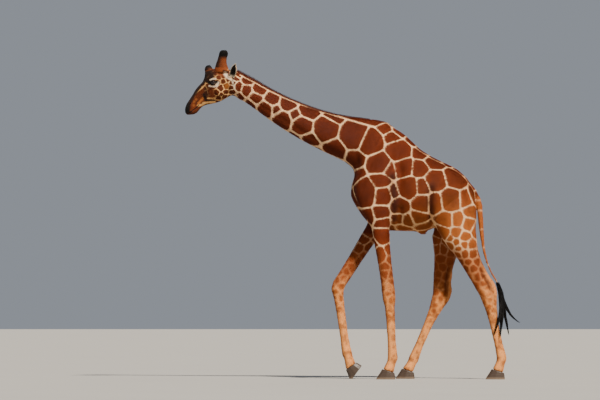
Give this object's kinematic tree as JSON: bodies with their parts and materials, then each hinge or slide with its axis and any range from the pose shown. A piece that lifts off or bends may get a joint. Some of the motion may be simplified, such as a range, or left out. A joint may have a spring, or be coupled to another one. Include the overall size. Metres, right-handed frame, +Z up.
{
  "type": "giraffe",
  "caption": "Life-size still model of a walking bull reticulated giraffe with lowered neck, standing on the floor on its own hooves.",
  "frame": {"origin": "on the floor, under the middle of the whole body's box", "axes": "+Z up from the floor, -X the way the giraffe walks and its head points, -Y its left side"},
  "size_m": [3.8912, 0.76, 3.819],
  "materials": {
    "coat": "short flat hair, red-brown patches in a cream net",
    "coat_leg": "short flat hair, orange-tan with faint spots",
    "coat_face": "very short hair, brown nose, fine cheek spots",
    "hair_dark": "coarse dark hair",
    "hoof": "dull horn with growth rings",
    "eye": "wet gloss, dark brown"
  },
  "bodies": {
    "root": {"head": "coat_face", "neck": "coat", "trunk": "coat", "mane": "hair_dark", "ear_left": "coat_face", "ear_right": "coat_face", "ossicone_left": "coat_face", "ossicone_right": "coat_face", "ossicone_median": "coat_face", "eye_left": "eye", "eye_right": "eye", "tail": "coat", "tail_tuft": "hair_dark", "foreleg_left_upper": "coat", "foreleg_left_lower": "coat_leg", "foreleg_left_hoof_outer": "hoof", "foreleg_left_hoof_inner": "hoof", "foreleg_right_upper": "coat", "foreleg_right_lower": "coat_leg", "foreleg_right_hoof_outer": "hoof", "foreleg_right_hoof_inner": "hoof", "hindleg_left_upper": "coat", "hindleg_left_lower": "coat_leg", "hindleg_left_hoof_outer": "hoof", "hindleg_left_hoof_inner": "hoof", "hindleg_right_upper": "coat", "hindleg_right_lower": "coat_leg", "hindleg_right_hoof_outer": "hoof", "hindleg_right_hoof_inner": "hoof"}
  },
  "joints": []
}
